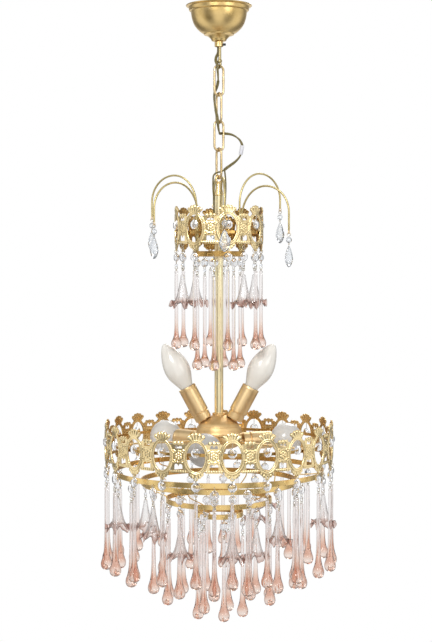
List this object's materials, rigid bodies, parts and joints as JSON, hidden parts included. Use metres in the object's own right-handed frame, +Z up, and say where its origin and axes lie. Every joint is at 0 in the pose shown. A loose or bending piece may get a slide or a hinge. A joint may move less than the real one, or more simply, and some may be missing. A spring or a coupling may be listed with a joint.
{
  "type": "ring chandelier",
  "caption": "Hanging gilt ring chandelier with pierced galleries, candle and globe lamps and rows of glass drops.",
  "frame": {"origin": "middle of the ceiling strap's top face, which lies on the ceiling", "axes": "+Z up, -Y toward the viewer of the picture, +X to the right"},
  "size_m": [0.3246, 0.3248, 0.8403],
  "materials": {
    "gilt_brass": "satin gilt",
    "dark_gilt": "satin spun gilt",
    "zinc_steel": "zinc plated",
    "black_screw": "blackened",
    "white_insulation": "plain",
    "olive_flex": "old twin flex",
    "frosted_glass": "frosted",
    "clear_glass": "clear cut",
    "rose_glass": "clear to rose"
  },
  "bodies": {
    "ceiling_fixing": {"ceiling_strap": "zinc_steel", "hanger_rod": "gilt_brass", "hanger_nut": "zinc_steel", "terminal_block": "white_insulation", "flex_upper": "olive_flex"},
    "canopy": {"canopy": "dark_gilt", "canopy_collar": "gilt_brass"},
    "grub_screw": {"grub_screw": "black_screw"},
    "chain_link_1": {"chain_link_1": "gilt_brass"},
    "chain_link_2": {"chain_link_2": "gilt_brass"},
    "chain_link_3": {"chain_link_3": "gilt_brass", "flex_sleeve": "white_insulation"},
    "chain_link_4": {"chain_link_4": "gilt_brass"},
    "chandelier": {"stem_hook": "gilt_brass", "stem_tube": "gilt_brass", "flex_lower": "olive_flex", "main_hoop": "gilt_brass", "crown_hoop": "gilt_brass", "crown_lower_hoop": "gilt_brass", "hub_dome": "gilt_brass", "hub_cup": "gilt_brass", "hub_nut": "gilt_brass", "main_gallery_1": "gilt_brass", "main_gallery_2": "gilt_brass", "main_gallery_3": "gilt_brass", "crown_gallery_1": "gilt_brass", "crown_gallery_2": "gilt_brass", "candle_holder_1": "gilt_brass", "candle_holder_2": "gilt_brass", "side_holder_1": "gilt_brass", "side_holder_2": "gilt_brass", "side_holder_3": "gilt_brass", "drop_ring_1": "gilt_brass", "drop_ring_2": "gilt_brass", "drop_ring_3": "gilt_brass", "drop_ring_4": "gilt_brass"},
    "arch_drop_1": {"arch_drop_1": "clear_glass"},
    "arch_drop_2": {"arch_drop_2": "clear_glass"},
    "arch_drop_3": {"arch_drop_3": "clear_glass"},
    "arch_drop_4": {"arch_drop_4": "clear_glass"},
    "arch_drop_5": {"arch_drop_5": "clear_glass"},
    "arch_drop_6": {"arch_drop_6": "clear_glass"},
    "crown_pendant_1": {"crown_pendant_1": "rose_glass"},
    "crown_pendant_2": {"crown_pendant_2": "rose_glass"},
    "crown_pendant_3": {"crown_pendant_3": "rose_glass"},
    "crown_pendant_4": {"crown_pendant_4": "rose_glass"},
    "crown_pendant_5": {"crown_pendant_5": "rose_glass"},
    "crown_pendant_6": {"crown_pendant_6": "rose_glass"},
    "crown_pendant_7": {"crown_pendant_7": "rose_glass"},
    "crown_pendant_8": {"crown_pendant_8": "rose_glass"},
    "lower_pendant_1": {"lower_pendant_1": "rose_glass"},
    "lower_pendant_2": {"lower_pendant_2": "rose_glass"},
    "lower_pendant_3": {"lower_pendant_3": "rose_glass"},
    "lower_pendant_4": {"lower_pendant_4": "rose_glass"},
    "lower_pendant_5": {"lower_pendant_5": "rose_glass"},
    "candle_bulb_1": {"candle_bulb_1": "frosted_glass"},
    "candle_bulb_2": {"candle_bulb_2": "frosted_glass"},
    "round_bulb_1": {"round_bulb_1": "frosted_glass"},
    "round_bulb_2": {"round_bulb_2": "frosted_glass"},
    "round_bulb_3": {"round_bulb_3": "frosted_glass"}
  },
  "joints": [
    {"name": "canopy_slide", "type": "slide", "parent": "ceiling_fixing", "child": "canopy", "axis": [0, 0, 1], "range_m": [-0.008, 0]},
    {"name": "grub_screw_turn", "type": "hinge", "parent": "canopy", "child": "grub_screw", "pos_m": [0.006, -0.00221, -0.0555], "axis": [1, 0, 0], "range_deg": [-1080, 0]},
    {"name": "link_1_swing", "type": "hinge", "parent": "ceiling_fixing", "child": "chain_link_1", "pos_m": [0, 0, -0.087], "axis": [-0.4695, 0.8829, 0], "range_deg": [-12, 12], "deforming": ["flex_upper", "flex_sleeve", "flex_lower"]},
    {"name": "link_2_swing", "type": "hinge", "parent": "chain_link_1", "child": "chain_link_2", "pos_m": [0, 0, -0.1245], "axis": [0.8829, 0.4695, 0], "range_deg": [-12, 12], "deforming": ["flex_upper", "flex_sleeve", "flex_lower"]},
    {"name": "link_3_swing", "type": "hinge", "parent": "chain_link_2", "child": "chain_link_3", "pos_m": [0, 0, -0.162], "axis": [-0.4695, 0.8829, 0], "range_deg": [-12, 12], "deforming": ["flex_upper", "flex_sleeve", "flex_lower"]},
    {"name": "link_4_swing", "type": "hinge", "parent": "chain_link_3", "child": "chain_link_4", "pos_m": [0, 0, -0.1995], "axis": [0.8829, 0.4695, 0], "range_deg": [-12, 12], "deforming": ["flex_upper", "flex_sleeve", "flex_lower"]},
    {"name": "stem_swing", "type": "hinge", "parent": "chain_link_4", "child": "chandelier", "pos_m": [0, 0, -0.237], "axis": [-0.4695, 0.8829, 0], "range_deg": [-12, 12], "deforming": ["flex_upper", "flex_sleeve", "flex_lower"]},
    {"name": "arch_drop_1_swing", "type": "hinge", "parent": "chandelier", "child": "arch_drop_1", "pos_m": [0.00726, -0.10375, -0.2936], "axis": [0.9976, 0.0698, 0], "range_deg": [-20, 20]},
    {"name": "arch_drop_2_swing", "type": "hinge", "parent": "chandelier", "child": "arch_drop_2", "pos_m": [0.09348, -0.04559, -0.3136], "axis": [0.4384, 0.8988, 0], "range_deg": [-20, 20]},
    {"name": "arch_drop_3_swing", "type": "hinge", "parent": "chandelier", "child": "arch_drop_3", "pos_m": [0.08622, 0.05816, -0.2796], "axis": [-0.5592, 0.829, 0], "range_deg": [-20, 20]},
    {"name": "arch_drop_4_swing", "type": "hinge", "parent": "chandelier", "child": "arch_drop_4", "pos_m": [-0.00726, 0.10375, -0.2726], "axis": [-0.9976, -0.0698, 0], "range_deg": [-20, 20]},
    {"name": "arch_drop_5_swing", "type": "hinge", "parent": "chandelier", "child": "arch_drop_5", "pos_m": [-0.09348, 0.04559, -0.2916], "axis": [-0.4384, -0.8988, 0], "range_deg": [-20, 20]},
    {"name": "arch_drop_6_swing", "type": "hinge", "parent": "chandelier", "child": "arch_drop_6", "pos_m": [-0.08622, -0.05816, -0.3026], "axis": [0.5592, -0.829, 0], "range_deg": [-20, 20]},
    {"name": "crown_pendant_1_swing", "type": "hinge", "parent": "chandelier", "child": "crown_pendant_1", "pos_m": [0.0118, -0.05802, -0.3365], "axis": [0.9799, 0.1994, 0], "range_deg": [-8, 8]},
    {"name": "crown_pendant_2_swing", "type": "hinge", "parent": "chandelier", "child": "crown_pendant_2", "pos_m": [0.04937, -0.03268, -0.3365], "axis": [0.5519, 0.8339, 0], "range_deg": [-8, 8]},
    {"name": "crown_pendant_3_swing", "type": "hinge", "parent": "chandelier", "child": "crown_pendant_3", "pos_m": [0.05802, 0.0118, -0.3365], "axis": [-0.1994, 0.9799, 0], "range_deg": [-4, 4]},
    {"name": "crown_pendant_4_swing", "type": "hinge", "parent": "chandelier", "child": "crown_pendant_4", "pos_m": [0.03268, 0.04937, -0.3365], "axis": [-0.8339, 0.5519, 0], "range_deg": [-8, 8]},
    {"name": "crown_pendant_5_swing", "type": "hinge", "parent": "chandelier", "child": "crown_pendant_5", "pos_m": [-0.0118, 0.05802, -0.3365], "axis": [-0.9799, -0.1994, 0], "range_deg": [-8, 8]},
    {"name": "crown_pendant_6_swing", "type": "hinge", "parent": "chandelier", "child": "crown_pendant_6", "pos_m": [-0.04937, 0.03268, -0.3365], "axis": [-0.5519, -0.8339, 0], "range_deg": [-8, 8]},
    {"name": "crown_pendant_7_swing", "type": "hinge", "parent": "chandelier", "child": "crown_pendant_7", "pos_m": [-0.05802, -0.0118, -0.3365], "axis": [0.1994, -0.9799, 0], "range_deg": [-4, 4]},
    {"name": "crown_pendant_8_swing", "type": "hinge", "parent": "chandelier", "child": "crown_pendant_8", "pos_m": [-0.03268, -0.04937, -0.3365], "axis": [0.8339, -0.5519, 0], "range_deg": [-8, 8]},
    {"name": "lower_pendant_1_swing", "type": "hinge", "parent": "chandelier", "child": "lower_pendant_1", "pos_m": [0.00682, -0.03208, -0.7007], "axis": [0.9781, 0.2079, 0], "range_deg": [-8, 8]},
    {"name": "lower_pendant_2_swing", "type": "hinge", "parent": "chandelier", "child": "lower_pendant_2", "pos_m": [0.03262, -0.00343, -0.7007], "axis": [0.1045, 0.9945, 0], "range_deg": [-8, 8]},
    {"name": "lower_pendant_3_swing", "type": "hinge", "parent": "chandelier", "child": "lower_pendant_3", "pos_m": [0.01334, 0.02996, -0.7007], "axis": [-0.9135, 0.4067, 0], "range_deg": [-8, 8]},
    {"name": "lower_pendant_4_swing", "type": "hinge", "parent": "chandelier", "child": "lower_pendant_4", "pos_m": [-0.02438, 0.02195, -0.7007], "axis": [-0.6691, -0.7431, 0], "range_deg": [-8, 8]},
    {"name": "lower_pendant_5_swing", "type": "hinge", "parent": "chandelier", "child": "lower_pendant_5", "pos_m": [-0.02841, -0.0164, -0.7007], "axis": [0.5, -0.866, 0], "range_deg": [-8, 8]},
    {"name": "candle_bulb_1_screw", "type": "hinge", "parent": "chandelier", "child": "candle_bulb_1", "pos_m": [0.0207, 0, -0.567], "axis": [0.4695, 0, 0.8829], "range_deg": [0, 1080]},
    {"name": "candle_bulb_2_screw", "type": "hinge", "parent": "chandelier", "child": "candle_bulb_2", "pos_m": [-0.0207, 0, -0.567], "axis": [-0.4695, 0, 0.8829], "range_deg": [0, 1080]},
    {"name": "round_bulb_1_screw", "type": "hinge", "parent": "chandelier", "child": "round_bulb_1", "pos_m": [-0.00649, -0.03338, -0.598], "axis": [-0.1908, -0.9816, 0], "range_deg": [0, 1080]},
    {"name": "round_bulb_2_screw", "type": "hinge", "parent": "chandelier", "child": "round_bulb_2", "pos_m": [0.03215, 0.01107, -0.598], "axis": [0.9455, 0.3256, 0], "range_deg": [0, 1080]},
    {"name": "round_bulb_3_screw", "type": "hinge", "parent": "chandelier", "child": "round_bulb_3", "pos_m": [-0.02566, 0.02231, -0.598], "axis": [-0.7547, 0.6561, 0], "range_deg": [0, 1080]}
  ]
}
